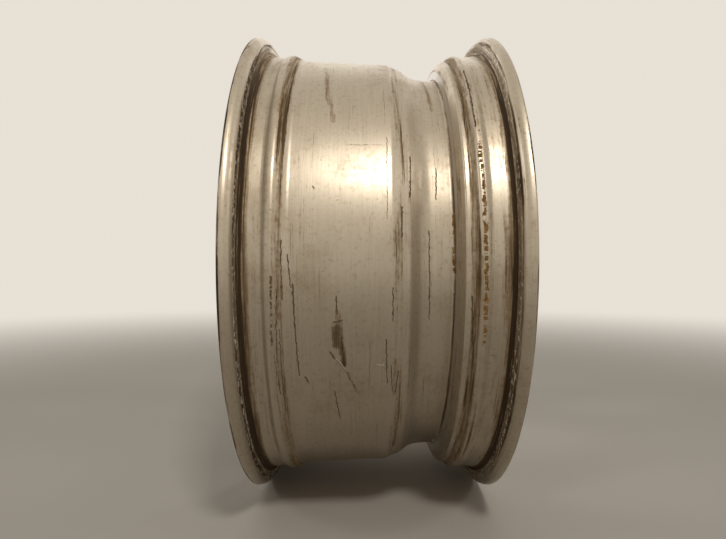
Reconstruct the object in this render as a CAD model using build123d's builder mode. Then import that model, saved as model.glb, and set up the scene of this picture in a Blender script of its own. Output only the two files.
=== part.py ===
import os
from math import asin, atan2, cos, radians, sin, tan

from build123d import *

# An 18 x 8.5 inch cast aluminium wheel rim, made in one piece. Its centre is the origin and it
# turns about Y. The inboard side, with the hub pad and the brake, faces +Y, and the outboard side,
# with the drop centre near it, faces -Y. A point of a section is (y, radius).

# Bead seats and flanges. The seats fall away from the heels at the seat angle.
bead_seat_diameter = 462.0
rim_width = 215.9
flange_height = 17.5
flange_width = 10.9
flange_round = 9.5
flange_round_steps = 3
heel_chamfer = 4.0
seat_width = 17.8
seat_angle = 5.0

# Safety humps, each a crest beyond the toe of its seat
hump_distance = 22.2
inboard_hump_height = 2.2
inboard_hump_width = 3.8
outboard_hump_height = 1.1
outboard_hump_width = 4.7

# Barrel and drop centre. The barrel's start is measured from the inboard flange and the rest from
# the outboard one. The drops are taken from the bead seats.
barrel_start = 37.5
barrel_start_drop = 5.0
barrel_end = 98.4
barrel_end_drop = 8.3
step_start = 89.8
step_end = 84.8
step_drop = 12.1
well_start = 70.7
well_start_drop = 22.4
well_end = 47.2
well_depth = 24.8
well_wall_top = 38.5
well_wall_top_drop = 9.0
barrel_wall = 5.0
flange_root_wall = 8.0
lip_face_width = 11.0

# Hub, seen from the brake side: the pad, its relief pockets and the bore. On the front are the
# pockets of the wheel bolts and the recess of the cap.
hub_offset = 42.0
hub_depth = 52.0
hub_radius = 84.0
pad_radius = 74.0
centre_bore_diameter = 66.6
centre_bore_length = 30.0
centre_bore_lead = 1.5
cap_hole_diameter = 57.0
cap_recess_diameter = 70.0
cap_recess_depth = 5.0
bolt_count = 5
bolt_circle_diameter = 112.0
bolt_hole_diameter = 15.0
bolt_land = 9.0
bolt_seat_diameter = 27.0
bolt_seat_angle = 60.0
pad_relief_width = 22.0
pad_relief_length = 36.0
pad_relief_depth = 12.0

# Spokes, with hollow backs
spoke_count = 5
spoke_width_at_hub = 64.0
spoke_width_at_rim = 50.0
spoke_face_recess = 8.0
spoke_back_step = 17.0
spoke_root_offset = 6.0
spoke_root_flare = 8.0
spoke_skin = 9.0
spoke_side_wall = 8.0
spoke_pocket_start = 102.0
spoke_pocket_end = 190.0
spoke_pocket_round = 7.0
window_hub_round = 16.0
window_rim_round = 40.0

# Valve hole, square to the drop centre's outboard wall and midway between two spokes
valve_hole_diameter = 11.3
valve_spot_diameter = 18.0
valve_land = 4.0
valve_spot_reach = 16.0

# How far cutters pass the faces that they open, and how far the disc runs into the barrel's metal
cutter_overrun = 1.0
root_overlap = 0.5

bead_seat_radius = bead_seat_diameter / 2
flange_radius = bead_seat_radius + flange_height
lip_radius = flange_radius - lip_face_width
seat_slope = tan(radians(seat_angle))
toe_radius = bead_seat_radius - seat_width * seat_slope
inboard_flange = rim_width / 2
outboard_flange = -rim_width / 2
inboard_face = inboard_flange + flange_width
outboard_face = outboard_flange - flange_width
pad_plane = -hub_offset
hub_front = pad_plane - hub_depth
spoke_pitch = 360 / spoke_count
bolt_pitch = 360 / bolt_count

# Sections are drawn along Y with the radius along X, where the revolved faces have their seam
section_plane = Plane(origin=(0, 0, 0), x_dir=(0, 1, 0), z_dir=(0, 0, -1))

# Corners of the tyre side that the brake side follows around the drop centre
barrel_inboard = (inboard_flange - barrel_start, bead_seat_radius - barrel_start_drop)
barrel_outboard = (outboard_flange + barrel_end, bead_seat_radius - barrel_end_drop)
well_inboard = (outboard_flange + well_start, bead_seat_radius - well_start_drop)
well_outboard = (outboard_flange + well_end, bead_seat_radius - well_depth)
wall_top = (outboard_flange + well_wall_top, bead_seat_radius - well_wall_top_drop)
toe_outboard = (outboard_flange + seat_width, toe_radius)


def flange_and_hump(flange, inward, hump_height, hump_width):
    """One flange, heel, seat and hump, from the flange's face to the hump's far side."""
    crest = flange + inward * hump_distance
    turns = [radians(90 * step / flange_round_steps) for step in range(flange_round_steps, -1, -1)]
    return [
        (flange - inward * flange_width, flange_radius),
        *(
            (
                flange - inward * flange_round * (1 - cos(turn)),
                flange_radius - flange_round * (1 - sin(turn)),
            )
            for turn in turns
        ),
        (flange, bead_seat_radius + heel_chamfer),
        (flange + inward * heel_chamfer, bead_seat_radius - heel_chamfer * seat_slope),
        (flange + inward * seat_width, toe_radius),
        (crest, toe_radius + hump_height),
        (crest + inward * hump_width, toe_radius + hump_height),
    ]


def within_metal(depth):
    """The corners from the barrel's end to the drop centre's wall, at a depth within the metal."""
    run = [barrel_inboard, barrel_outboard, well_inboard, well_outboard, wall_top, toe_outboard]
    run = [Vector(*corner) for corner in run]
    moved = []
    for before, corner, after in zip(run, run[1:], run[2:]):
        first = (corner - before).normalized().rotate(Axis.Z, 90)
        second = (after - corner).normalized().rotate(Axis.Z, 90)
        inner = corner + (first + second) * (depth / (1 + first.dot(second)))
        moved.append((inner.X, inner.Y))
    return moved


# Barrel: the whole rim section turned about the axle
inboard_end = flange_and_hump(inboard_flange, -1, inboard_hump_height, inboard_hump_width)
outboard_end = flange_and_hump(outboard_flange, 1, outboard_hump_height, outboard_hump_width)
tyre_side = [
    *inboard_end,
    barrel_inboard,
    barrel_outboard,
    (outboard_flange + step_start, bead_seat_radius - step_drop),
    (outboard_flange + step_end, bead_seat_radius - step_drop),
    well_inboard,
    well_outboard,
    wall_top,
    *outboard_end[::-1],
]
brake_side = [
    (outboard_face, lip_radius),
    (outboard_flange, bead_seat_radius - flange_root_wall),
    *within_metal(barrel_wall)[::-1],
    (inboard_flange, bead_seat_radius - flange_root_wall),
    (inboard_face, lip_radius),
]

with BuildPart() as barrel:
    with BuildSketch(section_plane):
        with BuildLine():
            Polyline(tyre_side + brake_side, close=True)
        make_face()
    revolve(axis=Axis.Y)

# Disc: a solid of revolution that runs up inside the metal of the barrel, then the windows that
# leave the spokes
brake_wall = within_metal(barrel_wall)
mid_wall = within_metal(barrel_wall / 2)
well_near, well_far = brake_wall[1:3]


def on_brake_wall(y):
    """A point just inside the metal, over the drop centre's floor."""
    share = (well_near[0] - y) / (well_near[0] - well_far[0])
    return (y, well_near[1] + share * (well_far[1] - well_near[1]) + root_overlap)


root_y = pad_plane - spoke_root_offset
root_radius = on_brake_wall(root_y)[1] - spoke_root_flare
disc_section = [
    (pad_plane, 0),
    (pad_plane, pad_radius),
    (pad_plane - spoke_back_step, hub_radius),
    (root_y, root_radius),
    on_brake_wall(root_y + spoke_root_flare),
    *mid_wall[1:],
    (outboard_flange, bead_seat_radius - flange_root_wall / 2),
    (outboard_face + spoke_face_recess, bead_seat_radius),
    (hub_front, hub_radius),
    (hub_front, 0),
]


def spoke_side(radius, width):
    """Where a window's side, half a width off the next spoke's centre line, meets a radius."""
    angle = radians(spoke_pitch / 2) - asin(width / 2 / radius)
    return (radius * cos(angle), radius * sin(angle))


with BuildSketch() as window:
    with BuildLine():
        hub_x, hub_y = spoke_side(hub_radius, spoke_width_at_hub)
        rim_x, rim_y = spoke_side(lip_radius, spoke_width_at_rim)
        Line((hub_x, -hub_y), (rim_x, -rim_y))
        ThreePointArc((rim_x, -rim_y), (lip_radius, 0), (rim_x, rim_y))
        Line((rim_x, rim_y), (hub_x, hub_y))
        ThreePointArc((hub_x, hub_y), (hub_radius, 0), (hub_x, -hub_y))
    make_face()
    fillet(window.vertices().group_by(Axis.X)[0], window_hub_round)
    fillet(window.vertices().group_by(Axis.X)[-1], window_rim_round)

outboard_side = Plane(origin=(0, outboard_face, 0), x_dir=(1, 0, 0), z_dir=(0, 1, 0))
with BuildPart() as disc:
    with BuildSketch(section_plane):
        with BuildLine():
            Polyline(disc_section, close=True)
        make_face()
    revolve(axis=Axis.Y)
    with BuildSketch(outboard_side):
        with PolarLocations(0, spoke_count):
            add(window.sketch)
    extrude(amount=-outboard_face, mode=Mode.SUBTRACT)

# Spoke pocket: each spoke is hollow at the back, under a skin that follows its sloping face
face_rise = hub_front - (outboard_face + spoke_face_recess)
face_slope = atan2(face_rise, bead_seat_radius - hub_radius)
face_y = hub_front - (spoke_pocket_start - hub_radius) * tan(face_slope)
pocket_floor = Plane(
    origin=(spoke_pocket_start, face_y + spoke_skin / cos(face_slope), 0),
    x_dir=(cos(face_slope), -sin(face_slope), 0),
    z_dir=(sin(face_slope), cos(face_slope), 0),
)
pocket_length = (spoke_pocket_end - spoke_pocket_start) / cos(face_slope)


def pocket_half_width(radius):
    """Half the spoke's width at a radius, less its side wall."""
    share = (radius - hub_radius) / (lip_radius - hub_radius)
    width = spoke_width_at_hub + share * (spoke_width_at_rim - spoke_width_at_hub)
    return width / 2 - spoke_side_wall


with BuildPart() as spoke_pocket:
    start_half = pocket_half_width(spoke_pocket_start)
    end_half = pocket_half_width(spoke_pocket_end)
    with BuildSketch(pocket_floor) as pocket_outline:
        with BuildLine():
            Polyline(
                (0, start_half),
                (pocket_length, end_half),
                (pocket_length, -end_half),
                (0, -start_half),
                close=True,
            )
        make_face()
        fillet(pocket_outline.vertices(), spoke_pocket_round)
    extrude(amount=-outboard_face)

# Bolt hole: a clear hole through the land, a cone for the bolt's head and a pocket for the socket,
# all turned about the bolt's axis
bolt_radius = bolt_circle_diameter / 2
bolt_cone_depth = (bolt_seat_diameter - bolt_hole_diameter) / 2 / tan(radians(bolt_seat_angle / 2))
land_front = pad_plane - bolt_land
seat_front = land_front - bolt_cone_depth
with BuildPart() as bolt_cutter:
    with BuildSketch(Plane.XY):
        with BuildLine():
            Polyline(
                (bolt_radius, pad_plane + cutter_overrun),
                (bolt_radius + bolt_hole_diameter / 2, pad_plane + cutter_overrun),
                (bolt_radius + bolt_hole_diameter / 2, land_front),
                (bolt_radius + bolt_seat_diameter / 2, seat_front),
                (bolt_radius + bolt_seat_diameter / 2, hub_front - cutter_overrun),
                (bolt_radius, hub_front - cutter_overrun),
                close=True,
            )
        make_face()
    revolve(axis=Axis((bolt_radius, 0, 0), (0, 1, 0)))

# Centre: a bore for the hub's spigot, a smaller hole for the cap and the cap's recess
bore_radius = centre_bore_diameter / 2
with BuildPart() as centre_cutter:
    with BuildSketch(Plane.XY):
        with BuildLine():
            Polyline(
                (0, pad_plane + cutter_overrun),
                (bore_radius + centre_bore_lead + cutter_overrun, pad_plane + cutter_overrun),
                (bore_radius, pad_plane - centre_bore_lead),
                (bore_radius, pad_plane - centre_bore_length),
                (cap_hole_diameter / 2, pad_plane - centre_bore_length),
                (cap_hole_diameter / 2, hub_front + cap_recess_depth),
                (cap_recess_diameter / 2, hub_front + cap_recess_depth),
                (cap_recess_diameter / 2, hub_front - cutter_overrun),
                (0, hub_front - cutter_overrun),
                close=True,
            )
        make_face()
    revolve(axis=Axis.Y)

# Pad reliefs: shallow pockets in the pad, one between each two bolt holes
with BuildPart() as pad_relief:
    with BuildSketch(Plane.XZ.offset(-pad_plane)):
        with PolarLocations(bolt_radius, bolt_count, start_angle=bolt_pitch / 2):
            SlotOverall(pad_relief_length, pad_relief_width, rotation=90)
    extrude(amount=pad_relief_depth)

# Valve hole: square through the drop centre's outboard wall, between two spot faces
wall_low, wall_high = Vector(*well_outboard), Vector(*wall_top)
wall_normal = (wall_high - wall_low).normalized().rotate(Axis.Z, 90)
wall_middle = (wall_low + wall_high) / 2 + wall_normal * (barrel_wall / 2)
valve_plane = Plane(
    origin=(wall_middle.Y, wall_middle.X, 0),
    x_dir=(0, 0, 1),
    z_dir=(wall_normal.Y, wall_normal.X, 0),
)
with BuildPart() as valve_cutter:
    with BuildSketch(valve_plane):
        Circle(valve_hole_diameter / 2)
    extrude(amount=valve_spot_reach, both=True)
    for spot_face in (valve_plane.offset(valve_land / 2), -valve_plane.offset(-valve_land / 2)):
        with BuildSketch(spot_face):
            Circle(valve_spot_diameter / 2)
        extrude(amount=valve_spot_reach)

with BuildPart() as wheel_rim:
    add(barrel.part)
    add(disc.part)
    for spoke in range(spoke_count):
        add(spoke_pocket.part.rotate(Axis.Y, (spoke + 0.5) * spoke_pitch), mode=Mode.SUBTRACT)
    for bolt in range(bolt_count):
        add(bolt_cutter.part.rotate(Axis.Y, bolt * bolt_pitch), mode=Mode.SUBTRACT)
    add(centre_cutter.part, mode=Mode.SUBTRACT)
    add(pad_relief.part, mode=Mode.SUBTRACT)
    add(valve_cutter.part, mode=Mode.SUBTRACT)

wheel_rim.part.label = "wheel_rim"
os.makedirs("parts", exist_ok=True)
export_step(wheel_rim.part, "parts/wheel_rim.step")
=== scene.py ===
from cmath import phase, rect
from math import asin, atan, ceil, cos, degrees, pi, radians, sin, sqrt, tan
from types import SimpleNamespace

import bmesh
import bpy
import numpy as np
from mathutils import Matrix, Vector
from mathutils.geometry import delaunay_2d_cdt


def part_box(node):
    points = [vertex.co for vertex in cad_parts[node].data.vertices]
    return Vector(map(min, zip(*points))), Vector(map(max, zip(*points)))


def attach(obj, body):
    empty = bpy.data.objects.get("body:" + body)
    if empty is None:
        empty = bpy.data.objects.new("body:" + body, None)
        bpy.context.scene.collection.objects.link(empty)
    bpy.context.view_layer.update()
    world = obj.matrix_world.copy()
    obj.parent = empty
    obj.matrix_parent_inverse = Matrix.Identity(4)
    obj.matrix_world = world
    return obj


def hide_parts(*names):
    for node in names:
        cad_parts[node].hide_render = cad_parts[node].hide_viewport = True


# A used one-piece wheel rim that stands on its two flanges, seen from the side of its barrel.
# Lengths are millimetres until a mesh is made. A point of a section is a complex number, the place
# along the axle plus i times the radius, and a point of a plan is x plus i times z.
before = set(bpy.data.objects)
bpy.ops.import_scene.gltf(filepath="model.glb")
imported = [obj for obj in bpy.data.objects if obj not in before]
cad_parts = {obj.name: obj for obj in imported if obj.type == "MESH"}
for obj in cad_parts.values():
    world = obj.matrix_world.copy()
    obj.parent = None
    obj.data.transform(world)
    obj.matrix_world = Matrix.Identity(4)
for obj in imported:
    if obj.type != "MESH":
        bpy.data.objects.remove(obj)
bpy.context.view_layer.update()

MM = 0.001

# Sizes that the part's source gives
seat_radius = 231.0
flange_radius = 248.5
lip_radius = 237.5
flange_plane = 107.95
flange_round = 9.5
outer_face = 118.85
barrel_wall = 5.0
flange_root_wall = 8.0
pad_plane = -42.0
hub_front = -94.0
hub_radius = 84.0
pad_radius = 74.0
spoke_back_step = 17.0
spoke_count = 5
spoke_width_at_hub = 64.0
spoke_width_at_rim = 50.0
spoke_face_recess = 8.0
spoke_root_offset = 6.0
spoke_root_flare = 8.0
spoke_skin = 9.0
spoke_side_wall = 8.0
spoke_pocket_start = 102.0
spoke_pocket_end = 190.0
spoke_pocket_round = 7.0
window_hub_round = 16.0
window_rim_round = 40.0
bolt_count = 5
bolt_radius = 56.0
bolt_hole_radius = 7.5
bolt_seat_radius = 13.5
bolt_land_front = -51.0
bolt_seat_front = -61.39
bore_radius = 33.3
bore_end = -72.0
bore_lead = 1.5
cap_hole_radius = 28.5
cap_recess_radius = 35.0
cap_recess_depth = 5.0
pad_relief_width = 22.0
pad_relief_length = 36.0
pad_relief_depth = 12.0
valve_hole_radius = 5.65
valve_spot_radius = 9.0
valve_land = 4.0
valve_spot_reach = 16.0

# Roundings that only the finer mesh has
lip_round = 2.0
flange_edge_round = 1.2
heel_round = 6.5
toe_round = 6.0
barrel_round = 8.0
flange_root_round = 8.0
brake_wall_rounds = (8.0, 6.0, 12.0, 20.0)
hub_face_round = 60.0
pad_edge_round = 3.0
spoke_back_round = 8.0
spoke_edge_round = 4.0
spoke_edge_share = 0.4
pocket_mouth_round = 2.5
pocket_foot_round = 4.0
machined_round = 0.6
bolt_mouth_round = 1.5
bolt_mouth_gap = 0.1

# How fine the mesh is: steps of arcs in degrees, points to a circle and to a quarter, and lengths
arc_step = 7.5
fillet_step = 3.0
hub_arc_step = 1.5
tip_arc_step = 2.0
slot_arc_step = 12.0
side_step = 5.0
quarter_steps = 4
ring_segments = 264
bore_segments = 96
bolt_segments = 40
merge_distance = 0.01 * MM
plan_tolerance = 1e-6
sharp_angle = 32.0
shading_weight = 80

# The net of points inside the disc's two faces: first radius, steps outward and round, smallest
# step, and distance from an outline
net_start = 70.0
net_step = 9.0
net_turn = 2.5
net_least_step = 0.5
net_clearance = 2.0

# Where the disc's plan ends in the barrel's metal, how deep its back runs in there, and the border
# of flat face that each bore has
disc_limit = 229.0
root_overlap = 0.5
well_overlap = 1.0
mouth_border = 1.0


def corner_arc(before, corner, after, radius):
    """The points of one rounded corner."""
    if not radius:
        return [corner]
    back = (before - corner) / abs(before - corner)
    on = (after - corner) / abs(after - corner)
    half = abs(phase(on / back)) / 2
    centre = corner + (back + on) / abs(back + on) * radius / sin(half)
    start = corner + back * radius / tan(half) - centre
    turn = phase((corner + on * radius / tan(half) - centre) / start)
    count = max(2, ceil(abs(degrees(turn)) / arc_step))
    return [centre + start * rect(1, turn * k / count) for k in range(count + 1)]


def rounded(corners):
    """An outline of (corner, rounding) with each corner rounded."""
    outline = []
    for i, (corner, radius) in enumerate(corners):
        following = corners[(i + 1) % len(corners)][0]
        outline += corner_arc(corners[i - 1][0], corner, following, radius)
    return outline


def within_metal(run, depth):
    """The inner corners of a run of the tyre side, at a depth within the metal."""
    moved = []
    for before, corner, after in zip(run, run[1:], run[2:]):
        first = (corner - before) / abs(corner - before) * 1j
        second = (after - corner) / abs(after - corner) * 1j
        share = 1 + (first * second.conjugate()).real
        moved.append(corner + (first + second) * depth / share)
    return moved


# Corners around the drop centre, as the part's source has them, which the brake side follows
barrel_inboard = complex(70.45, 226.0)
barrel_outboard = complex(-9.55, 222.7)
well_inboard = complex(-37.3, 208.6)
well_outboard = complex(-60.8, 206.2)
wall_top = complex(-69.5, 222.0)
toe_outboard = complex(-90.15, 229.44)
followed = [barrel_inboard, barrel_outboard, well_inboard, well_outboard, wall_top, toe_outboard]
brake_wall = within_metal(followed, barrel_wall)
mid_wall = within_metal(followed, barrel_wall / 2)

# Both flanges and seats are alike. Corners of the tyre side, each with its rounding, run from the
# inboard lip over the hump, the barrel, the well, its wall and the other hump to the outboard lip.
# The well and its wall are finer here than in the part's source.
outboard_seat = [
    (toe_outboard, toe_round),
    (complex(-flange_plane, seat_radius), heel_round),
    (complex(-flange_plane, flange_radius), flange_round),
    (complex(-outer_face, flange_radius), flange_edge_round),
    (complex(-outer_face, lip_radius), lip_round),
]
inboard_seat = [(-corner.conjugate(), radius) for corner, radius in outboard_seat[::-1]]
tyre_side = [
    *inboard_seat,
    (complex(85.8, 231.6), 6.0),
    (complex(82.0, 231.6), 6.0),
    (barrel_inboard, barrel_round),
    (complex(-13.0, 222.5), 7.0),
    (complex(-19.5, 219.6), 9.0),
    (complex(-27.0, 217.0), 10.0),
    (complex(-39.3, 207.9), 24.0),
    (complex(-64.2, 205.9), 2.5),
    (complex(-65.4, 216.6), 6.0),
    (complex(-70.25, 225.4), 2.5),
    (complex(-77.0, 225.4), 2.5),
    (complex(-80.5, 230.8), 3.0),
    (complex(-85.6, 230.8), 6.0),
    *outboard_seat,
]
root_radius = seat_radius - flange_root_wall
brake_side = [
    (complex(-flange_plane, root_radius), flange_root_round),
    *zip(brake_wall[::-1], brake_wall_rounds),
    (complex(flange_plane, root_radius), flange_root_round),
]


def place(plan, along):
    """A plan point and a place along the axle as a point in metres."""
    return (plan.real * MM, along * MM, plan.imag * MM)


def revolve(mesh, outline, segments, centre=0j, closed=True):
    """Turns a section about a line along the axle through a plan point."""
    rings = []
    for k in range(segments):
        turn = rect(1, 2 * pi * k / segments)
        rings.append(
            [mesh.verts.new(place(centre + point.imag * turn, point.real)) for point in outline]
        )
    spans = len(outline) if closed else len(outline) - 1
    for ring, following in zip(rings, rings[1:] + rings[:1]):
        for i in range(spans):
            j = (i + 1) % len(outline)
            mesh.faces.new((ring[i], ring[j], following[j], following[i]))


def height(curve, radius):
    """The place along the axle of a height curve at a radius."""
    return float(np.interp(radius, [p.imag for p in curve], [p.real for p in curve]))


# The disc lies between two height curves. Beyond the barrel's inner wall both run in its metal.
face_end = complex(-outer_face + spoke_face_recess, seat_radius)
front_curve = rounded(
    [
        (complex(hub_front, 0), 0),
        (complex(hub_front, hub_radius), hub_face_round),
        (face_end, 0),
    ]
)
pad_share = (brake_wall[1].real - pad_plane) / (brake_wall[1] - brake_wall[2]).real
floor_radius = brake_wall[1].imag + pad_share * (brake_wall[2] - brake_wall[1]).imag
root_y = pad_plane - spoke_root_offset
back_curve = rounded(
    [
        (complex(pad_plane, 0), 0),
        (complex(pad_plane, pad_radius), pad_edge_round),
        (complex(pad_plane - spoke_back_step, hub_radius), spoke_back_round),
        (complex(root_y, floor_radius - spoke_root_flare), spoke_back_round),
        (complex(root_y + spoke_root_flare, floor_radius + root_overlap), 0),
        (mid_wall[2] + 1j * well_overlap, 0),
        (mid_wall[3], 0),
        (complex(-flange_plane, seat_radius - flange_root_wall / 2), 0),
        (face_end, 0),
    ]
)


def spoke_edge(radius, width):
    """Where a window's side, half a width off the next spoke's centre line, meets a radius."""
    return rect(radius, pi / spoke_count - asin(width / 2 / radius))


def arc_between(centre, radius, start, end, step=fillet_step):
    """Points of an arc, each with its direction away from the centre."""
    turn = phase(end / start)
    count = max(2, ceil(abs(degrees(turn)) / step))
    directions = [start / abs(start) * rect(1, turn * k / count) for k in range(count + 1)]
    return [(centre + radius * direction, direction) for direction in directions]


def window_half():
    """Half a window's outline, from the rim to the middle of the hub: (point, way into metal)."""
    hub = spoke_edge(hub_radius, spoke_width_at_hub)
    rim = spoke_edge(lip_radius, spoke_width_at_rim)
    along = (rim - hub) / abs(rim - hub)
    inward = -1j * along

    def fillet_centre(distance, radius):
        base = hub + inward * radius
        half = (base * along.conjugate()).real
        return base + along * (sqrt(half**2 - abs(base) ** 2 + distance**2) - half)

    rim_centre = fillet_centre(lip_radius - window_rim_round, window_rim_round)
    hub_centre = fillet_centre(hub_radius + window_hub_round, window_hub_round)
    outline = arc_between(rim_centre, window_rim_round, rim_centre, -inward)
    side_start = rim_centre - inward * window_rim_round
    side_end = hub_centre - inward * window_hub_round
    count = ceil(abs(side_end - side_start) / side_step)
    for k in range(1, count):
        outline.append((side_start + (side_end - side_start) * k / count, -inward))
    outline += arc_between(hub_centre, window_hub_round, -inward, -hub_centre)
    hub_arc = arc_between(0, hub_radius, hub_centre, 1 + 0j, hub_arc_step)
    outline += [(point, -direction) for point, direction in hub_arc[1:]]
    return [pair for pair in outline if abs(pair[0]) < disc_limit]


def disc_outline():
    """The star that the windows leave of the disc's plan, as (point, way into metal)."""
    upper = window_half()
    lower = [(point.conjugate(), way.conjugate()) for point, way in upper]
    window = lower + upper[-2::-1]
    star = []
    for k in range(spoke_count):
        turn = rect(1, 2 * pi * k / spoke_count)
        star += [(point * turn, way * turn) for point, way in window]
        end = window[-1][0] * turn
        start = window[0][0] * rect(1, 2 * pi * (k + 1) / spoke_count)
        tip = arc_between(0, disc_limit, end, start, tip_arc_step)
        star += [(point, -direction) for point, direction in tip[1:-1]]
    return star


def lay(mesh, loop):
    """Vertices for a loop of (plan point, place along the axle)."""
    return [mesh.verts.new(place(plan, along)) for plan, along in loop]


def skin(mesh, loops):
    """Walls between closed loops of vertices."""
    for loop, following in zip(loops, loops[1:]):
        for i in range(len(loop)):
            mesh.faces.new((loop[i - 1], loop[i], following[i], following[i - 1]))


quarter = [radians(90 * k / quarter_steps) for k in range(quarter_steps + 1)]


def disc_side(mesh, star):
    """The disc's side walls with both edges rounded. Returns the outlines of its two faces."""
    loops = []
    for curve, inward, order in ((front_curve, 1, quarter), (back_curve, -1, quarter[::-1])):
        for angle in order:
            loop = []
            for point, way in star:
                thickness = height(back_curve, abs(point)) - height(front_curve, abs(point))
                radius = min(spoke_edge_round, spoke_edge_share * thickness)
                plan = point + way * radius * (1 - sin(angle))
                along = height(curve, abs(plan)) + inward * radius * (1 - cos(angle))
                loop.append((plan, along))
            loops.append(loop)
    skin(mesh, [lay(mesh, loop) for loop in loops])
    return [plan for plan, along in loops[0]], [plan for plan, along in loops[-1]]


def inside(points, loops):
    """Which plan points lie inside the first loop and outside the rest."""
    result = np.zeros(len(points), bool)
    for loop in loops:
        for start, end in zip(loop, loop[1:] + loop[:1]):
            if start.imag == end.imag:
                continue
            crosses = (start.imag > points.imag) != (end.imag > points.imag)
            share = (points.imag - start.imag) / (end.imag - start.imag)
            result ^= crosses & (points.real < start.real + share * (end.real - start.real))
    return result


def polar_net(curve, last):
    """Points out to a radius, on the radii where a curve bends and on even steps between them."""
    radii = [net_start]
    bends = [point.imag for point in curve if net_start < point.imag < last]
    for radius in sorted(bends + list(np.arange(net_start, last, net_step))):
        if radius - radii[-1] > net_least_step:
            radii.append(radius)
    angles = np.radians(np.arange(0, 360, net_turn))
    return np.array([rect(radius, angle) for radius in radii for angle in angles])


def cap(mesh, curve, loops, last):
    """Triangulates the plan between loops over a net of points and lays it on a curve."""
    net = polar_net(curve, last)
    keep = inside(net, loops)
    for loop in loops:
        distance = np.abs(net[:, None] - np.array(loop)[None, :]).min(axis=1)
        keep &= distance > net_clearance
    points = [point for loop in loops for point in loop]
    edges = []
    first = 0
    for loop in loops:
        edges += [(first + i, first + (i + 1) % len(loop)) for i in range(len(loop))]
        first += len(loop)
    points += list(net[keep])
    flat = [Vector((point.real, point.imag)) for point in points]
    corners, _, faces, *_ = delaunay_2d_cdt(flat, edges, [], 0, plan_tolerance)
    plan = [complex(corner.x, corner.y) for corner in corners]
    middles = np.array([sum(plan[i] for i in face) / len(face) for face in faces])
    vertices = {}
    for face, wanted in zip(faces, inside(middles, loops)):
        if not wanted:
            continue
        for i in face:
            if i not in vertices:
                vertices[i] = mesh.verts.new(place(plan[i], height(curve, abs(plan[i]))))
        mesh.faces.new([vertices[i] for i in face])


def with_ways(outline):
    """A closed outline that runs anticlockwise, with the way out of it at each point."""
    count = len(outline)
    pairs = []
    for i, point in enumerate(outline):
        along = outline[(i + 1) % count] - outline[i - 1]
        pairs.append((point, -1j * along / abs(along)))
    return pairs


def pocket(mesh, outline, floor, lean=0j):
    """A pocket in the disc's back. Returns the outline of its mouth."""
    loops = []
    for angle in quarter:
        loop = []
        for point, way in outline:
            plan = point - way * pocket_foot_round * (1 - sin(angle))
            loop.append((plan, floor(plan) + pocket_foot_round * (1 - cos(angle))))
        loops.append(loop)
    for angle in quarter[::-1]:
        loop = []
        for point, way in outline:
            plan = point + lean * (height(back_curve, abs(point)) - floor(point))
            plan += way * pocket_mouth_round * (1 - sin(angle))
            along = height(back_curve, abs(plan)) - pocket_mouth_round * (1 - cos(angle))
            loop.append((plan, along))
        loops.append(loop)
    rings = [lay(mesh, loop) for loop in loops]
    mesh.faces.new(rings[0])
    skin(mesh, rings)
    return [plan for plan, along in loops[-1]]


def spoke_pockets(mesh):
    """The hollow back of each spoke, over a skin that follows its sloping face."""
    slope = atan((hub_front - face_end.real) / (seat_radius - hub_radius))
    start_y = hub_front - (spoke_pocket_start - hub_radius) * tan(slope) + spoke_skin / cos(slope)

    def half_width(radius):
        share = (radius - hub_radius) / (lip_radius - hub_radius)
        width = spoke_width_at_hub + share * (spoke_width_at_rim - spoke_width_at_hub)
        return width / 2 - spoke_side_wall

    start, end = half_width(spoke_pocket_start), half_width(spoke_pocket_end)
    corners = [
        complex(spoke_pocket_start, -start),
        complex(spoke_pocket_end, -end),
        complex(spoke_pocket_end, end),
        complex(spoke_pocket_start, start),
    ]
    outline = with_ways(rounded([(corner, spoke_pocket_round) for corner in corners]))

    def floor_along(turn):
        return lambda plan: start_y - ((plan / turn).real - spoke_pocket_start) * tan(slope)

    mouths = []
    for k in range(spoke_count):
        turn = rect(1, 2 * pi * (k + 0.5) / spoke_count)
        ring = [(point * turn, way * turn) for point, way in outline]
        mouths.append(pocket(mesh, ring, floor_along(turn), turn * tan(slope)))
    return mouths


def pad_reliefs(mesh):
    """The shallow slots in the hub pad between the bolt holes."""
    half_width = pad_relief_width / 2
    reach = pad_relief_length / 2 - half_width
    end = bolt_radius + 1j * reach
    upper = arc_between(end, half_width, 1 + 0j, 1j, slot_arc_step)
    upper += arc_between(end, half_width, 1j, -1 + 0j, slot_arc_step)[1:]
    points = [point for point, way in upper]
    outline = with_ways(points + [2 * bolt_radius - point for point in points])
    mouths = []
    for k in range(bolt_count):
        turn = rect(1, 2 * pi * (k + 0.5) / bolt_count)
        ring = [(point * turn, way * turn) for point, way in outline]
        mouths.append(pocket(mesh, ring, lambda plan: pad_plane - pad_relief_depth))
    return mouths


def circle(centre, radius, segments):
    """Plan points round a circle, as revolve spaces them."""
    return [centre + rect(radius, 2 * pi * k / segments) for k in range(segments)]


def bored(mesh, corners, segments, centre=0j):
    """A stepped hole through the disc. Returns the outlines of its front and back mouths."""
    path = rounded(corners)
    revolve(mesh, path, segments, centre, closed=False)
    return circle(centre, path[0].imag, segments), circle(centre, path[-1].imag, segments)


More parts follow.
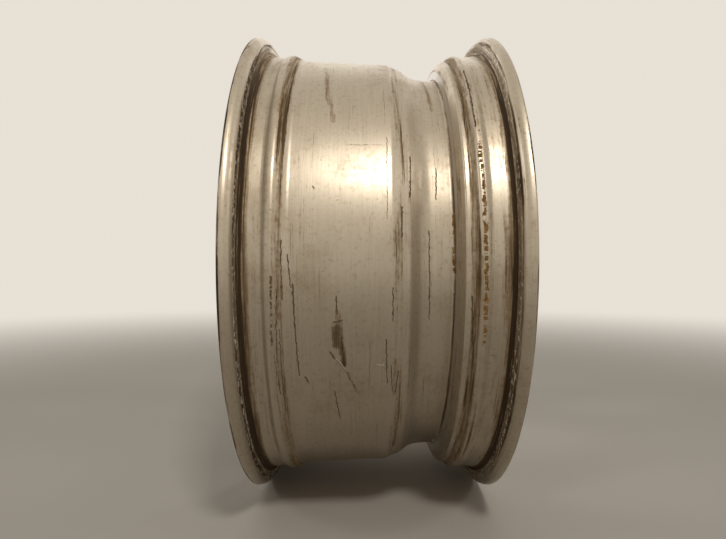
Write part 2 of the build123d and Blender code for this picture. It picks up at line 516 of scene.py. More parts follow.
def make_disc():
    """The hub and the spokes, up to the inside of the barrel's metal."""
    mesh = bmesh.new()
    front, back = disc_side(mesh, disc_outline())
    front_loops, back_loops = [front], [back]
    bolt_path = [
        (complex(hub_front, bolt_seat_radius + bolt_mouth_round), 0),
        (complex(hub_front, bolt_seat_radius), bolt_mouth_round - bolt_mouth_gap),
        (complex(bolt_seat_front, bolt_seat_radius), machined_round),
        (complex(bolt_land_front, bolt_hole_radius), machined_round),
        (complex(pad_plane, bolt_hole_radius), machined_round),
        (complex(pad_plane, bolt_hole_radius + mouth_border), 0),
    ]
    centre_path = [
        (complex(hub_front, cap_recess_radius + mouth_border), 0),
        (complex(hub_front, cap_recess_radius), machined_round),
        (complex(hub_front + cap_recess_depth, cap_recess_radius), machined_round),
        (complex(hub_front + cap_recess_depth, cap_hole_radius), machined_round),
        (complex(bore_end, cap_hole_radius), machined_round),
        (complex(bore_end, bore_radius), machined_round),
        (complex(pad_plane - bore_lead, bore_radius), 0),
        (complex(pad_plane, bore_radius + bore_lead), 0),
        (complex(pad_plane, bore_radius + bore_lead + mouth_border), 0),
    ]
    holes = [(centre_path, bore_segments, 0j)]
    for k in range(bolt_count):
        holes.append((bolt_path, bolt_segments, rect(bolt_radius, 2 * pi * k / bolt_count)))
    for path, segments, centre in holes:
        front_mouth, back_mouth = bored(mesh, path, segments, centre)
        front_loops.append(front_mouth)
        back_loops.append(back_mouth)
    back_loops += spoke_pockets(mesh) + pad_reliefs(mesh)
    cap(mesh, front_curve, front_loops, disc_limit)
    cap(mesh, back_curve, back_loops, floor_radius)
    bmesh.ops.remove_doubles(mesh, verts=mesh.verts, dist=merge_distance)
    bmesh.ops.recalc_face_normals(mesh, faces=mesh.faces)
    return mesh


def make_barrel():
    """The whole rim section turned about the axle."""
    mesh = bmesh.new()
    revolve(mesh, rounded(tyre_side + brake_side), ring_segments)
    bmesh.ops.recalc_face_normals(mesh, faces=mesh.faces)
    return mesh


def make_valve_cutter():
    """A cutter for the valve hole and its spot faces, square to the drop centre's wall."""
    mesh = bmesh.new()
    half_land = valve_land / 2
    path = rounded(
        [
            (complex(-valve_spot_reach, 0.0), 0),
            (complex(-valve_spot_reach, valve_spot_radius), 0),
            (complex(-half_land, valve_spot_radius), machined_round),
            (complex(-half_land, valve_hole_radius), machined_round / 2),
            (complex(half_land, valve_hole_radius), machined_round / 2),
            (complex(half_land, valve_spot_radius), machined_round),
            (complex(valve_spot_reach, valve_spot_radius), 0),
            (complex(valve_spot_reach, 0.0), 0),
        ]
    )
    revolve(mesh, path, bolt_segments, closed=False)
    bmesh.ops.remove_doubles(mesh, verts=mesh.verts, dist=merge_distance)
    bmesh.ops.recalc_face_normals(mesh, faces=mesh.faces)
    normal = (wall_top - well_outboard) / abs(wall_top - well_outboard) * 1j
    middle = (wall_top + well_outboard) / 2 + normal * barrel_wall / 2
    axis = Vector((normal.imag, normal.real, 0))
    turn = Vector((0, 1, 0)).rotation_difference(axis).to_matrix().to_4x4()
    shift = Matrix.Translation((middle.imag * MM, middle.real * MM, 0))
    bmesh.ops.transform(mesh, matrix=shift @ turn, verts=mesh.verts)
    return mesh


def to_object(mesh, name):
    """An object of the scene with a mesh."""
    data = bpy.data.meshes.new(name)
    mesh.to_mesh(data)
    mesh.free()
    piece = bpy.data.objects.new(name, data)
    bpy.context.scene.collection.objects.link(piece)
    return piece


def island_of(start):
    """All faces that hang together with one face by shared corners."""
    found = {start}
    waiting = [start]
    while waiting:
        for vertex in waiting.pop().verts:
            fresh = [face for face in vertex.link_faces if face not in found]
            found.update(fresh)
            waiting += fresh
    return found


def clear_scraps(data):
    """Takes out what the joining leaves over: doubled slivers and pockets closed in the metal."""
    mesh = bmesh.new()
    mesh.from_mesh(data)
    bmesh.ops.remove_doubles(mesh, verts=mesh.verts, dist=merge_distance)
    bmesh.ops.triangulate(mesh, faces=[face for face in mesh.faces if len(face.verts) > 4])
    corners = {}
    for face in mesh.faces:
        corners.setdefault(frozenset(face.verts), []).append(face)
    doubled = [face for same in corners.values() if len(same) > 1 for face in same]
    bmesh.ops.delete(mesh, geom=doubled, context="FACES")
    casting = island_of(max(mesh.faces, key=lambda face: face.calc_center_median().length))
    enclosed = [face for face in mesh.faces if face not in casting]
    bmesh.ops.delete(mesh, geom=enclosed, context="FACES")
    mesh.to_mesh(data)
    mesh.free()


def make_rim():
    """The casting in one piece: the barrel joined with the disc, less the valve hole."""
    rim = to_object(make_barrel(), "rim_casting")
    tools = [
        (to_object(make_disc(), "disc"), "UNION"),
        (to_object(make_valve_cutter(), "valve_cutter"), "DIFFERENCE"),
    ]
    for tool, operation in tools:
        joint = rim.modifiers.new(operation, "BOOLEAN")
        joint.object = tool
        joint.operation = operation
        joint.solver = "EXACT"
    bpy.context.view_layer.update()
    joined = rim.evaluated_get(bpy.context.evaluated_depsgraph_get())
    whole = bpy.data.meshes.new_from_object(joined)
    rim.modifiers.clear()
    rim.data = whole
    for tool, _ in tools:
        bpy.data.objects.remove(tool)
    clear_scraps(whole)
    whole.polygons.foreach_set("use_smooth", [True] * len(whole.polygons))
    whole.set_sharp_from_angle(angle=radians(sharp_angle))
    even = rim.modifiers.new("even_shading", "WEIGHTED_NORMAL")
    even.keep_sharp = True
    even.weight = shading_weight
    return rim


def new_tree(owner):
    """The emptied shader tree of a material or a world."""
    owner.use_nodes = True
    owner.node_tree.nodes.clear()
    return owner.node_tree


def put(kind, inputs=(), tree=None, **settings):
    """A new shader node, in the tree of its linked inputs or in one that is given."""
    inputs = dict(inputs)
    links = {key: value for key, value in inputs.items() if isinstance(value, bpy.types.NodeSocket)}
    if tree is None:
        tree = next(iter(links.values())).id_data
    node = tree.nodes.new(kind)
    for name, value in settings.items():
        setattr(node, name, value)
    for key, value in inputs.items():
        if key in links:
            tree.links.new(value, node.inputs[key])
        else:
            node.inputs[key].default_value = value
    return node


def calculate(operation, *values, clamp=False):
    """The result of an operation on single values."""
    inputs = dict(enumerate(values))
    return put("ShaderNodeMath", inputs, operation=operation, use_clamp=clamp).outputs[0]


def times(first, *others):
    for value in others:
        first = calculate("MULTIPLY", first, value)
    return first


def plus(first, second):
    return calculate("ADD", first, second)


def less(first, second):
    return calculate("SUBTRACT", first, second)


def most(first, *others):
    for value in others:
        first = calculate("MAXIMUM", first, value)
    return first


def without_sign(value):
    return calculate("ABSOLUTE", value)


def grown(mask, least, added):
    """A share that grows with a mask."""
    return plus(least, times(mask, added))


def ramp(value, low, high, smooth=True):
    """0 below low and 1 above high, or the other way where low is the larger."""
    kind = "SMOOTHSTEP" if smooth else "LINEAR"
    inputs = {"Value": value, "From Min": low, "From Max": high}
    if low > high:
        inputs = {"Value": value, "From Min": high, "From Max": low, "To Min": 1.0, "To Max": 0.0}
    return put("ShaderNodeMapRange", inputs, interpolation_type=kind).outputs["Result"]


def within(value, low, high, blur):
    """1 where a value lies between two limits, with blurred ends."""
    return times(ramp(value, low - blur, low + blur), ramp(value, high + blur, high - blur))


def combined(x, y, z=0.0):
    """A vector from three values."""
    return put("ShaderNodeCombineXYZ", {"X": x, "Y": y, "Z": z}).outputs[0]


def vector(operation, *values, output="Vector"):
    """The result of an operation on vectors."""
    inputs = dict(enumerate(values))
    return put("ShaderNodeVectorMath", inputs, operation=operation).outputs[output]


def noise(position, scale, detail, roughness=0.55):
    """Soft noise from 0 to 1 at a position."""
    inputs = {"Vector": position, "Scale": scale, "Detail": detail, "Roughness": roughness}
    return put("ShaderNodeTexNoise", inputs).outputs["Fac"]


def mixed(factor, first, second):
    """One colour over another. The numbers are the colour sockets of a node that mixes all kinds."""
    return put("ShaderNodeMix", {0: factor, 6: first, 7: second}, data_type="RGBA").outputs[2]


# Marks on the tyre side: start, end and half width. A place is millimetres across from the middle
# plane, outboard positive, and degrees round from the side that faces the camera, upwards positive.
dark_marks = [
    ((-74.2, 3.6), (-73.4, -8.0), 0.7),
    ((-69.5, 0.7), (-66.9, -5.6), 0.6),
    ((-65.4, -5.0), (-64.4, -14.0), 1.0),
    ((-64.6, -13.0), (-62.4, -24.8), 0.7),
    ((-57.6, -25.4), (-55.1, -27.0), 1.0),
    ((-81.1, -3.5), (-82.2, -17.0), 1.3),
    ((-80.4, -21.0), (-78.4, -29.0), 1.0),
    ((-77.6, -6.0), (-79.2, -22.0), 0.7),
    ((-76.0, -14.0), (-76.3, -34.0), 0.6),
    ((-31.7, -7.6), (-31.4, -11.4), 0.7),
    ((-33.8, -13.0), (-27.6, -12.5), 1.2),
    ((-28.0, -16.0), (-25.8, -22.8), 0.6),
    ((-37.4, -19.4), (-26.0, -23.4), 0.9),
    ((-26.0, -23.4), (-17.0, -28.6), 0.5),
    ((-34.2, -29.6), (-30.4, -38.0), 0.7),
    ((8.0, -17.0), (9.3, -27.5), 0.7),
    ((12.3, -23.0), (14.0, -29.8), 0.6),
    ((18.7, -25.0), (16.5, -30.4), 0.7),
    ((9.1, 27.0), (8.4, 8.0), 0.4),
    ((20.5, 10.7), (20.2, 4.5), 0.9),
    ((43.0, 6.1), (43.7, -13.9), 0.7),
    ((50.7, 21.7), (49.4, 13.6), 0.7),
    ((28.4, 23.0), (27.3, 13.4), 0.9),
    ((13.0, -6.0), (13.3, -12.7), 0.8),
    ((81.9, 49.1), (81.5, 28.0), 1.0),
    ((74.7, -7.6), (76.4, -18.2), 1.0),
    ((-50.6, 14.6), (-49.6, 14.2), 0.9),
    ((-115.6, 52.2), (-117.0, 50.6), 0.8),
    ((-116.9, 36.7), (-118.0, 35.3), 0.8),
]
gouge_marks = [
    ((-31.2, -14.4), (-30.6, -17.6), 5.6),
    ((-28.4, -17.4), (-26.0, -22.4), 3.0),
]
brown_marks = [
    ((-30.9, -11.0), (-29.6, -14.0), 4.6),
    ((-24.0, -24.0), (-14.5, -30.2), 1.6),
    ((-47.0, 56.0), (-40.0, 37.0), 3.0),
    ((-41.0, 42.0), (-35.6, 31.0), 2.6),
    ((49.0, 62.0), (52.4, 41.0), 2.8),
    ((77.3, 25.4), (77.4, 6.5), 3.2),
    ((16.0, -22.0), (17.0, -31.0), 3.4),
    ((-24.0, 24.7), (7.5, 24.9), 0.6),
]
rust_marks = [
    ((82.9, 24.0), (84.8, -17.0), 1.9),
    ((64.1, 14.0), (63.6, -3.2), 1.7),
    ((82.7, 22.9), (82.4, 20.4), 2.2),
]
bright_marks = [
    ((-32.4, -21.0), (-23.2, -24.2), 0.4),
    ((0.8, -22.5), (6.5, -22.9), 0.5),
]

# The radius at which degrees round become millimetres, and a mark's blurred edge in half widths,
# from nothing to full
mark_radius = 225.0
mark_edge = (1.5, 0.2)

# Dirt along the tyre side from flange to flange: place, and the shares of dark streaks, brown film
# and rust. A place on a flange's wall also counts a share of the climb above the bead seat.
climb_share = 0.5
inboard_dirt = [
    (-127.5, 0.80, 0.5, 0.0),
    (-126.3, 0.60, 0.5, 0.0),
    (-125.0, 0.05, 0.1, 0.0),
    (-116.6, 0.02, 0.1, 0.0),
    (-114.6, 0.10, 0.3, 0.0),
    (-113.8, 0.75, 0.5, 0.0),
    (-112.0, 0.80, 0.6, 0.0),
    (-111.2, 0.30, 0.6, 0.0),
    (-109.9, 0.35, 0.7, 0.0),
    (-109.2, 0.84, 1.0, 0.0),
    (-105.2, 0.94, 1.0, 0.0),
    (-104.2, 0.88, 1.0, 0.0),
    (-103.4, 0.62, 0.9, 0.0),
    (-102.5, 0.76, 1.0, 0.0),
    (-101.9, 0.62, 1.0, 0.0),
    (-101.2, 0.34, 0.9, 0.0),
    (-99.8, 0.12, 0.6, 0.0),
    (-97.5, 0.03, 0.2, 0.0),
    (-90.5, 0.05, 0.3, 0.0),
    (-88.5, 0.03, 0.2, 0.0),
    (-82.5, 0.05, 0.2, 0.0),
    (-80.6, 0.34, 0.6, 0.0),
    (-78.0, 0.32, 0.8, 0.0),
    (-75.5, 0.38, 0.8, 0.0),
    (-74.2, 0.52, 0.8, 0.0),
    (-73.2, 0.12, 0.4, 0.0),
    (-71.0, 0.00, 0.0, 0.0),
]
middle_dirt = [
    (-71.0, 0.00, 0.0, 0.0),
    (-66.0, 0.14, 0.2, 0.0),
    (-50.0, 0.08, 0.1, 0.0),
    (4.0, 0.08, 0.1, 0.0),
    (8.8, 0.12, 0.1, 0.0),
    (14.0, 0.08, 0.3, 0.0),
    (20.4, 0.26, 0.5, 0.0),
    (24.0, 0.08, 0.2, 0.0),
    (28.0, 0.16, 0.3, 0.0),
    (36.0, 0.05, 0.1, 0.0),
    (43.4, 0.18, 0.2, 0.0),
    (46.0, 0.04, 0.1, 0.0),
    (50.0, 0.14, 0.2, 0.0),
    (62.6, 0.06, 0.1, 0.0),
    (63.6, 0.45, 0.8, 0.35),
    (64.8, 0.44, 0.8, 0.20),
    (65.6, 0.16, 0.5, 0.0),
    (69.5, 0.00, 0.0, 0.0),
]
outboard_dirt = [
    (69.5, 0.00, 0.0, 0.0),
    (73.0, 0.12, 0.3, 0.0),
    (74.6, 0.46, 0.8, 0.0),
    (76.6, 0.30, 0.8, 0.0),
    (79.4, 0.24, 0.6, 0.0),
    (81.2, 0.08, 0.2, 0.0),
    (82.6, 0.24, 0.5, 0.45),
    (84.4, 0.30, 0.5, 0.45),
    (85.4, 0.02, 0.1, 0.0),
    (88.5, 0.10, 0.5, 0.0),
    (92.0, 0.02, 0.2, 0.0),
    (97.5, 0.04, 0.2, 0.0),
    (98.9, 0.26, 0.5, 0.0),
    (100.5, 0.08, 0.4, 0.0),
    (103.1, 0.20, 0.7, 0.0),
    (104.1, 0.40, 0.9, 0.0),
    (105.0, 0.86, 1.0, 0.0),
    (108.9, 0.94, 1.0, 0.0),
    (109.8, 0.48, 0.8, 0.0),
    (113.8, 0.42, 0.7, 0.0),
    (114.6, 0.72, 0.7, 0.0),
    (116.0, 0.66, 0.6, 0.0),
    (117.0, 0.14, 0.4, 0.0),
    (120.0, 0.08, 0.3, 0.0),
    (125.4, 0.03, 0.1, 0.0),
    (126.4, 0.40, 0.4, 0.0),
    (127.5, 0.60, 0.5, 0.0),
]


def make_mark_group():
    """One mark between two points of the surface: 1 along its middle and 0 outside it."""
    tree = bpy.data.node_groups.new("mark", "ShaderNodeTree")
    for name in ("Position", "Start", "End"):
        tree.interface.new_socket(name, in_out="INPUT", socket_type="NodeSocketVector")
    tree.interface.new_socket("Half Width", in_out="INPUT", socket_type="NodeSocketFloat")
    tree.interface.new_socket("Share", in_out="OUTPUT", socket_type="NodeSocketFloat")
    given = put("NodeGroupInput", tree=tree).outputs
    away = vector("SUBTRACT", given["Position"], given["Start"])
    line = vector("SUBTRACT", given["End"], given["Start"])
    along = vector("DOT_PRODUCT", away, line, output="Value")
    length = vector("DOT_PRODUCT", line, line, output="Value")
    share = calculate("DIVIDE", along, length, clamp=True)
    nearest = put("ShaderNodeVectorMath", {0: line, "Scale": share}, operation="SCALE")
    gap = vector("SUBTRACT", away, nearest.outputs["Vector"])
    distance = vector("LENGTH", gap, output="Value")
    widths = calculate("DIVIDE", distance, given["Half Width"])
    put("NodeGroupOutput", {"Share": ramp(widths, *mark_edge)})
    return tree


def marked(group, position, marks):
    """How far inside any of the marks a place is."""
    shares = []
    for start, end, half_width in marks:
        inputs = {"Position": position, "Half Width": half_width}
        for name, (across, turn) in (("Start", start), ("End", end)):
            inputs[name] = (across, radians(turn) * mark_radius, 0.0)
        shares.append(put("ShaderNodeGroup", inputs, node_tree=group).outputs["Share"])
    return most(*shares)


def read_table(value, table):
    """Three shares from a table with a place in each row, as one colour."""
    first, last = table[0][0], table[-1][0]
    share = put("ShaderNodeMapRange", {"Value": value, "From Min": first, "From Max": last})
    node = put("ShaderNodeValToRGB", {"Fac": share.outputs["Result"]})
    stops = node.color_ramp.elements
    stops[0].color = (*table[0][1:], 1.0)
    stops[1].color = (*table[-1][1:], 1.0)
    for row in table[1:-1]:
        stops.new((row[0] - first) / (last - first)).color = (*row[1:], 1.0)
    return node.outputs["Color"]


# Colours of the paint under the tyre's dirt and of the paint that the tyre doesn't touch, and of
# what lies on it
paint_light = (0.524, 0.456, 0.360, 1.0)
paint_dark = (0.468, 0.405, 0.316, 1.0)
clean_light = (0.545, 0.520, 0.480, 1.0)
clean_dark = (0.485, 0.462, 0.425, 1.0)
dust = (0.195, 0.112, 0.034, 1.0)
grime = (0.066, 0.036, 0.009, 1.0)
umber = (0.050, 0.026, 0.006, 1.0)
rubber = (0.022, 0.011, 0.006, 1.0)
rust = (0.270, 0.125, 0.024, 1.0)
rust_light = (0.480, 0.285, 0.080, 1.0)
bare_metal = (0.80, 0.76, 0.67, 1.0)

# Noise drawn out round the axle: how fine it is across the section and round it, detail, roughness
fine_streaks = (0.9, 18.0, 4.0, 0.55)
broad_streaks = (0.07, 7.0, 3.0, 0.55)
hair_streaks = (0.60, 16.0, 6.0, 0.76)
dash_streaks = (0.42, 230.0, 3.0, 0.6)
jagged_streaks = (0.90, 240.0, 5.0, 0.75)
patch_streaks = (0.11, 10.0, 3.0, 0.55)
smear_streaks = (0.30, 30.0, 6.0, 0.78)
gap_streaks = (0.04, 430.0, 1.0, 0.55)

# Even noise: scale, detail and roughness. The warp bends the edges of the marks.
blotch_noise = (15.0, 6.0, 0.62)
mottle_noise = (240.0, 4.0, 0.6)
flake_noise = (900.0, 2.0)
speck_noise = (330.0, 2.0)
warp_scale = 0.24
warp_detail = 5.0
warp_reach = (2.6, 5.0, 0.0)
noise_middle = (0.5, 0.5, 0.5)

# Where the side that the tyre covers starts, from nothing to full: how squarely the surface faces
# away from the axle, and places in millimetres
seat_facing = (0.10, 0.30)
seat_radii = (202.0, 204.0)
wall_facing = (-0.3, -0.1)
wall_radii = (231.5, 232.5)
wall_planes = (118.8, 118.5)

# Limits in millimetres: the part below, where the dark streaks and the light flecks are fuller, so that
# the heel bands run darker towards the bottom, the strips above each bead and at each heel, with how
# soft their ends are, and where scratches stay whole beside the inboard hump
lower_part = (250.0, 120.0)
rough_strip = (109.7, 114.2, 0.4)
heel_strip = (104.3, 109.4, 0.6)
whole_scratches = (-79.8, -78.8)

# Levels of noise and dirt between which a mask goes from nothing to full
noise_levels = (0.32, 0.68)
patch_levels = (0.36, 0.64)
speck_levels = (0.70, 0.76)
gap_levels = (0.40, 0.47)
dark_levels = (-0.05, 0.26)
any_dark_levels = (0.0, 0.06)
full_dark_levels = (0.5, 0.9)
cut_levels = (0.0, 0.5)
torn_levels = (0.0, 0.6)
rust_levels = (0.0, 0.2)
film_levels = (-0.20, 0.75)
any_film_levels = (0.0, 0.15)
fleck_levels = (0.55, 0.85)
bright_levels = (0.2, 0.5)
haze_levels = (0.44, 0.74)
shade_levels = (0.45, 0.68)
mottle_levels = (0.50, 0.72)
light_rust_levels = (0.45, 0.66)
dirty_rust_levels = (0.55, 0.80)

# Shares that grow with a mask: the least, and what the full mask adds
dark_by_height = (0.60, 0.40)
flecks_by_height = (0.20, 0.80)
haze_by_side = (0.10, 0.25)
mottle_by_side = (0.08, 0.12)
dark_cover = (0.70, 0.26)
cut_cover = (0.50, 0.45)

# How much patches swing a line of dirt, and how strongly marks and noise count where they meet
dark_swing = 2.6
film_swing = 2.4
dark_gain = 1.1
cut_gain = 1.2
cut_jagged = 0.7
cut_smears = 0.5
torn_gain = 1.1
rust_mark_gain = 0.9
film_gain = 1.2
brown_mark_gain = 0.66
gouge_film = 0.95
cut_film = 0.6
film_smears = 0.60
film_mottle = 0.50
film_hair = 0.80
film_weave_middle = 0.45
bright_hair = 0.6

# How much of each colour covers what is under it
shade_cover = 0.45
speck_cover = 0.5
film_cover = 0.80
rust_grime = 0.6
rust_cover = 0.92
crust_smears = 0.7
torn_cover = 0.60
fleck_cover = 0.7

# Shine: dirt is dull and haze a little less so
dark_dullness = 0.9
film_dullness = 0.55
haze_dullness = 0.6
metallic_level = 0.94
specular_level = 0.25
gloss_levels = {"From Min": 0.3, "From Max": 0.7, "To Min": 0.33, "To Max": 0.43}
haze_roughness = 0.25
dirt_roughness = 0.38

# Relief: shares of its height, and its depth in metres
fine_relief = 0.16
broad_relief = 0.7
flake_relief = 0.05
crust_relief = 0.7
relief_strength = 0.3
relief_depth = 0.0005


def find_places(tree):
    """Where a point of the rim lies, and how far it is on the side that the tyre covers."""
    spot = put("ShaderNodeTexCoord", tree=tree).outputs["Object"]
    axes = put("ShaderNodeSeparateXYZ", {0: spot}).outputs
    across = times(axes["Y"], -1 / MM)
    radius = calculate("SQRT", plus(times(axes["X"], axes["X"]), times(axes["Z"], axes["Z"])))
    normals = put("ShaderNodeNewGeometry", tree=tree).outputs["Normal"]
    away = combined(axes["X"], 0.0, axes["Z"])
    outward = calculate("DIVIDE", vector("DOT_PRODUCT", normals, away, output="Value"), radius)
    radius = times(radius, 1 / MM)
    around = times(calculate("ARCTAN2", axes["Z"], times(axes["X"], -1.0)), mark_radius)
    climb = most(less(radius, seat_radius), 0.0)
    run = plus(across, times(calculate("SIGN", across), times(climb, climb_share)))
    flange_wall = times(ramp(radius, *wall_radii), ramp(outward, *wall_facing))
    flange_wall = times(flange_wall, ramp(without_sign(across), *wall_planes))
    tyre = times(ramp(outward, *seat_facing), ramp(radius, *seat_radii))
    return SimpleNamespace(
        spot=spot,
        axes=axes,
        across=across,
        around=around,
        run=run,
        off_middle=without_sign(run),
        low=ramp(around, *lower_part),
        tyre=most(tyre, flange_wall),
    )


def spread(value, levels=noise_levels):
    """Noise drawn out to the whole way from 0 to 1."""
    return ramp(value, *levels, smooth=False)


def find_grain(places):
    """Noise over the surface: streaks that run round the axle, and specks and blotches."""

    def streaks(fineness, stretch, detail, roughness):
        x = times(places.axes["X"], stretch)
        y = times(places.run, fineness)
        z = times(places.axes["Z"], stretch)
        return noise(combined(x, y, z), 1.0, detail, roughness)

    return SimpleNamespace(
        fine=streaks(*fine_streaks),
        broad=streaks(*broad_streaks),
        hair=spread(streaks(*hair_streaks)),
        dashes=spread(streaks(*dash_streaks)),
        jagged=spread(streaks(*jagged_streaks)),
        patches=spread(streaks(*patch_streaks), patch_levels),
        smears=spread(streaks(*smear_streaks)),
        gaps=ramp(streaks(*gap_streaks), *gap_levels),
        blotches=noise(places.spot, *blotch_noise),
        mottle=noise(places.spot, *mottle_noise),
        flakes=noise(places.spot, *flake_noise),
        specks=ramp(noise(places.spot, *speck_noise), *speck_levels),
    )


def find_marks(places):
    """How far inside each kind of mark a point is. Their edges are warped, so that none is straight."""
    flat = combined(places.across, places.around)
    inputs = {"Vector": flat, "Scale": warp_scale, "Detail": warp_detail}
    wander = put("ShaderNodeTexNoise", inputs).outputs["Color"]
    shift = vector("MULTIPLY", vector("SUBTRACT", wander, noise_middle), warp_reach)
    position = vector("ADD", flat, shift)
    group = make_mark_group()
    return SimpleNamespace(
        scored=marked(group, position, dark_marks),
        gouged=marked(group, position, gouge_marks),
        browned=marked(group, position, brown_marks),
        rusted=marked(group, position, rust_marks),
        polished=marked(group, position, bright_marks),
    )


def find_dirt(places, grain, marks):
    """The shares of dark dirt, scratches, gouges, rust, brown film, light flecks and haze."""
    run, tyre, low, hair = places.run, places.tyre, places.low, grain.hair
    table = vector("ADD", read_table(run, inboard_dirt), read_table(run, middle_dirt))
    table = vector("ADD", table, read_table(run, outboard_dirt))
    shares = put("ShaderNodeSeparateXYZ", {0: table}).outputs

    def varied(share, amount):
        """A line of dirt, fuller in some stretches than in others."""
        swing = times(times(share, less(1.0, share)), times(less(grain.patches, 0.5), amount))
        return most(plus(share, swing), 0.0)

    # Darker towards the bottom: the dark streaks are fuller in the part below than at the top.
    dark_share = times(varied(shares["X"], dark_swing), grown(low, *dark_by_height))
    dark = ramp(less(times(dark_share, dark_gain), hair), *dark_levels)
    breaks = plus(times(grain.jagged, cut_jagged), times(grain.smears, cut_smears))
    cuts = ramp(less(times(marks.scored, cut_gain), breaks), *cut_levels)
    cuts = times(cuts, most(grain.gaps, ramp(places.across, *whole_scratches)))
    torn = ramp(less(times(marks.gouged, torn_gain), spread(grain.fine)), *torn_levels)

    rust_share = most(times(shares["Z"], grain.patches), times(marks.rusted, rust_mark_gain))
    rusty = ramp(less(rust_share, grain.dashes), *rust_levels)
    soiled = most(times(marks.browned, brown_mark_gain), times(marks.gouged, gouge_film))
    film_share = most(varied(shares["Y"], film_swing), soiled, times(marks.scored, cut_film))
    weave = plus(times(spread(grain.mottle), film_mottle), times(hair, film_hair))
    weave = less(plus(times(grain.smears, film_smears), weave), film_weave_middle)
    film = ramp(less(times(film_share, film_gain), weave), *film_levels)

    strip = within(places.off_middle, *rough_strip)
    flecks = times(strip, ramp(grain.dashes, *fleck_levels), tyre, grown(low, *flecks_by_height))
    bright = ramp(less(marks.polished, times(hair, bright_hair)), *bright_levels)
    return SimpleNamespace(
        dark=times(dark, ramp(dark_share, *any_dark_levels), tyre),
        full=ramp(dark_share, *full_dark_levels),
        cuts=times(cuts, tyre),
        torn=times(torn, tyre),
        rusty=times(rusty, grain.gaps, tyre),
        film=times(film, ramp(film_share, *any_film_levels), tyre),
        flecks=flecks,
        bright=times(bright, tyre),
        haze=times(ramp(grain.blotches, *haze_levels), grown(tyre, *haze_by_side)),
    )


def paint_colour(places, grain, dirt):
    """The paint's colour, with each kind of dirt laid over what is under it."""
    dark_paint = mixed(places.tyre, clean_dark, paint_dark)
    light_paint = mixed(places.tyre, clean_light, paint_light)
    colour = mixed(spread(grain.fine), dark_paint, light_paint)
    colour = mixed(times(ramp(grain.broad, *shade_levels), shade_cover), colour, dark_paint)
    mottled = times(ramp(grain.mottle, *mottle_levels), grown(places.tyre, *mottle_by_side))
    colour = mixed(mottled, colour, dust)
    colour = mixed(dirt.haze, colour, dust)
    colour = mixed(times(grain.specks, speck_cover), colour, grime)
    colour = mixed(times(dirt.film, film_cover), colour, dust)
    rust_colour = mixed(ramp(grain.mottle, *light_rust_levels), rust, rust_light)
    dirty_rust = times(ramp(grain.hair, *dirty_rust_levels), rust_grime)
    rust_colour = mixed(dirty_rust, rust_colour, grime)
    colour = mixed(times(dirt.rusty, rust_cover), colour, rust_colour)
    crust_colour = mixed(times(grain.smears, crust_smears), rubber, grime)
    dark_colour = mixed(dirt.full, grime, crust_colour)
    colour = mixed(times(dirt.dark, grown(dirt.full, *dark_cover)), colour, dark_colour)
    colour = mixed(times(dirt.torn, torn_cover), colour, grime)
    colour = mixed(times(dirt.cuts, grown(spread(grain.mottle), *cut_cover)), colour, umber)
    colour = mixed(times(dirt.flecks, fleck_cover), colour, bare_metal)
    return mixed(dirt.bright, colour, bare_metal)


def paint_relief(places, grain):
    """Bumps from the streaks, the paint's flakes and the crust at the heels."""
    relief = plus(times(grain.fine, fine_relief), times(grain.broad, broad_relief))
    relief = plus(relief, times(grain.flakes, flake_relief))
    crust = times(within(places.off_middle, *heel_strip), grain.hair)
    relief = plus(relief, times(crust, crust_relief))
    inputs = {"Height": relief, "Strength": relief_strength, "Distance": relief_depth}
    return put("ShaderNodeBump", inputs).outputs["Normal"]


def make_paint():
    """Worn silver paint: faint turned streaks, dirt, tyre residue at the heels, rust, scratches."""
    material = bpy.data.materials.new("silver_paint_worn")
    places = find_places(new_tree(material))
    grain = find_grain(places)
    dirt = find_dirt(places, grain, find_marks(places))
    dull = times(most(dirt.dark, dirt.cuts), dark_dullness)
    dull = most(dull, dirt.rusty, times(most(dirt.film, dirt.torn), film_dullness))
    gloss = put("ShaderNodeMapRange", {"Value": grain.mottle, **gloss_levels}).outputs["Result"]
    gloss = plus(gloss, times(dirt.haze, haze_roughness))
    surface = {
        "Base Color": paint_colour(places, grain, dirt),
        "Metallic": times(less(1.0, most(dull, times(dirt.haze, haze_dullness))), metallic_level),
        "Roughness": calculate("ADD", gloss, times(dull, dirt_roughness), clamp=True),
        "Specular IOR Level": specular_level,
        "Normal": paint_relief(places, grain),
    }
    shader = put("ShaderNodeBsdfPrincipled", surface)
    put("ShaderNodeOutputMaterial", {"Surface": shader.outputs[0]})
    return material


# Stage, camera and lights, in metres. The floor fades into the background between two distances.
floor_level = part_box("wheel_rim")[0][2]
floor_size = 60.0
camera_place = (-0.6277, 0.0106, -0.0085)
camera_turn = (radians(90), 0.0, radians(-90))
camera_lens = 25.689
sensor_width = 36.0
background = (0.80, 0.750, 0.672, 1.0)
floor_colour = (0.60, 0.565, 0.51, 1.0)
floor_fade_start = 0.7
floor_fade_end = 2.8
ambient = 0.22

# Lamps: place, size, power and colour
lamps = {
    "key": ((-1.145, -0.243, 1.09), 0.20, 6.5, (1.0, 0.96, 0.90)),
    "back": ((2.9, 0.4, 1.3), 4.5, 50.0, (1.0, 0.97, 0.93)),
    "outboard": ((-0.7, -2.3, 1.5), 0.5, 6.0, (1.0, 0.97, 0.93)),
    "inboard": ((-0.7, 2.3, 1.5), 0.5, 6.0, (1.0, 0.97, 0.93)),
}


def seen_directly(tree):
    """1 for rays from the camera and through or off a surface, and 0 for diffuse light."""
    path = put("ShaderNodeLightPath", tree=tree).outputs
    seen = plus(path["Is Camera Ray"], path["Is Glossy Ray"])
    return calculate("ADD", seen, path["Is Transmission Ray"], clamp=True)


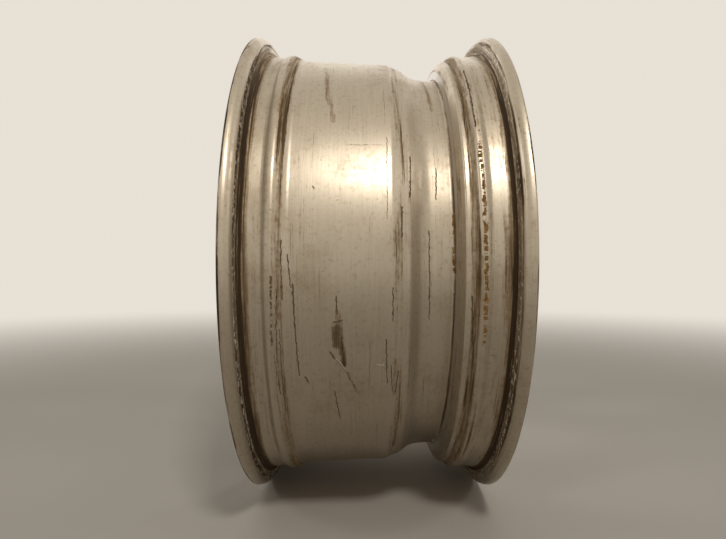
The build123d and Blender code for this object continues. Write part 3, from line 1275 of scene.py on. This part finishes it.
def make_floor():
    """A pale floor that goes over into the background far from the rim."""
    mesh = bmesh.new()
    bmesh.ops.create_grid(mesh, x_segments=1, y_segments=1, size=floor_size / 2)
    floor = to_object(mesh, "floor")
    floor.location.z = floor_level
    material = bpy.data.materials.new("pale_floor")
    tree = new_tree(material)
    spot = put("ShaderNodeTexCoord", tree=tree).outputs["Object"]
    distance = vector("LENGTH", spot, output="Value")
    fade = times(ramp(distance, floor_fade_start, floor_fade_end), seen_directly(tree))
    near = put("ShaderNodeBsdfDiffuse", {"Color": floor_colour}, tree).outputs[0]
    far = put("ShaderNodeEmission", {"Color": background}, tree).outputs[0]
    both = put("ShaderNodeMixShader", {0: fade, 1: near, 2: far})
    put("ShaderNodeOutputMaterial", {"Surface": both.outputs[0]})
    floor.data.materials.append(material)


def make_lights():
    """Soft lamps, and a world that is as pale as the background."""
    for name, (spot, size, power, tint) in lamps.items():
        lamp = bpy.data.lights.new(name, "AREA")
        lamp.size = size
        lamp.energy = power
        lamp.color = tint
        holder = bpy.data.objects.new(name, lamp)
        holder.location = spot
        holder.rotation_euler = (-Vector(spot)).to_track_quat("-Z", "Y").to_euler()
        bpy.context.scene.collection.objects.link(holder)
    world = bpy.data.worlds.new("studio")
    bpy.context.scene.world = world
    levels = {"Value": seen_directly(new_tree(world)), "To Min": ambient, "To Max": 1.0}
    strength = put("ShaderNodeMapRange", levels).outputs["Result"]
    light = put("ShaderNodeBackground", {"Color": background, "Strength": strength})
    put("ShaderNodeOutputWorld", {"Surface": light.outputs[0]})


def make_camera():
    """A level camera square to the axle, as the photograph was taken."""
    lens = bpy.data.cameras.new("camera")
    lens.lens = camera_lens
    lens.sensor_width = sensor_width
    camera = bpy.data.objects.new("camera", lens)
    camera.location = camera_place
    camera.rotation_euler = camera_turn
    bpy.context.scene.collection.objects.link(camera)
    bpy.context.scene.camera = camera


bpy.context.scene.view_settings.view_transform = "Standard"
make_camera()
make_lights()
make_floor()

rim = make_rim()
rim.data.materials.clear()
rim.data.materials.append(make_paint())
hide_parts("wheel_rim")
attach(rim, "root")
